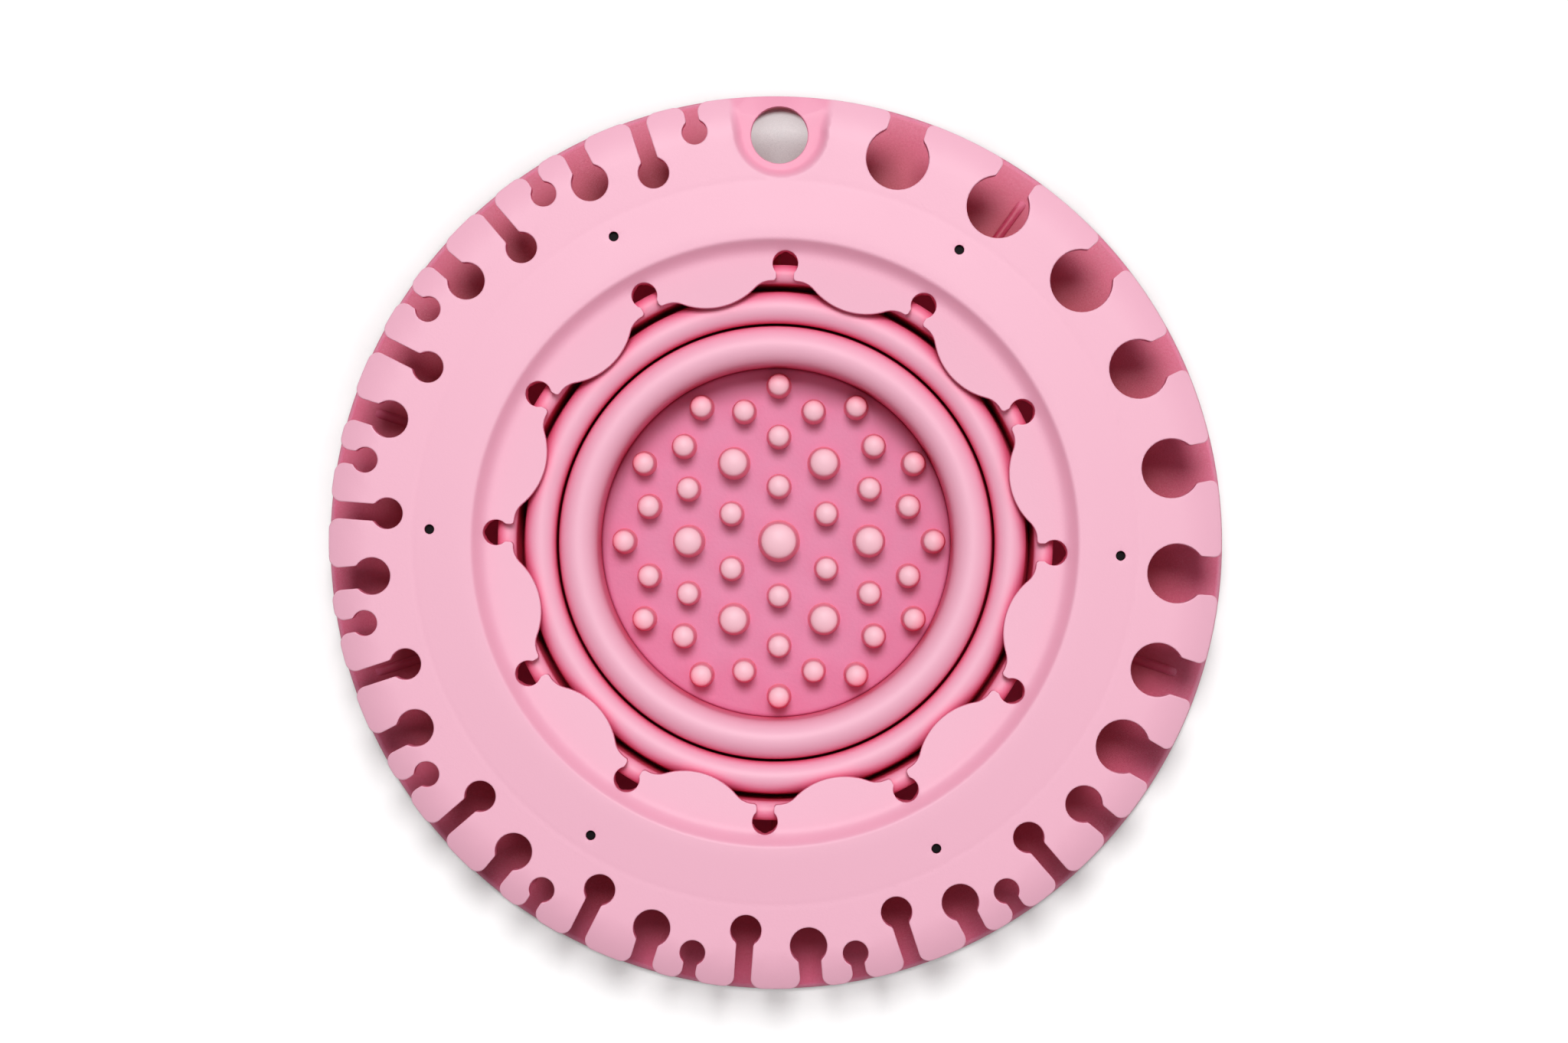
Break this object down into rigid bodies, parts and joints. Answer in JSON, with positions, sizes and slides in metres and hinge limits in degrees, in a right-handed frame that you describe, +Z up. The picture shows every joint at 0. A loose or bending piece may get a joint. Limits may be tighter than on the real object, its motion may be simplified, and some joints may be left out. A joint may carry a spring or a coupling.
{
  "type": "make-up brush washing bowl",
  "caption": "Collapsible round silicone bowl with a floor of scrubbing nubs, two pop-up folds, a drip disc and a lift-off rack with keyholes for drying brushes.",
  "frame": {"origin": "centre of the underside of the base, on the surface that the bowl stands on", "axes": "+Z up, +Y towards the tab with the hanging hole, +X to the right of a person who looks down with the tab at the far side"},
  "size_m": [0.182, 0.182, 0.026],
  "materials": {
    "silicone_pink": "matt moulded silicone",
    "stiffener_plastic": "plain, sealed in the brim"
  },
  "bodies": {
    "base": {"base_disc": "silicone_pink", "scrub_floor": "silicone_pink", "inner_roll": "silicone_pink", "inner_web": "silicone_pink"},
    "middle_fold": {"middle_roll": "silicone_pink", "outer_web": "silicone_pink"},
    "rim": {"outer_roll": "silicone_pink"},
    "rack": {"rack_plate": "silicone_pink", "stiffener_ring": "stiffener_plastic"}
  },
  "joints": [
    {"name": "middle_fold_rise", "type": "slide", "parent": "base", "child": "middle_fold", "axis": [0, 0, 1], "range_m": [0, 0.0278], "deforming": ["inner_web"]},
    {"name": "rim_rise", "type": "slide", "parent": "middle_fold", "child": "rim", "axis": [0, 0, 1], "range_m": [0, 0.0278], "deforming": ["outer_web"]},
    {"name": "rack_lift_off", "type": "slide", "parent": "rim", "child": "rack", "axis": [0, 0, 1], "range_m": [0, 0.03]}
  ]
}
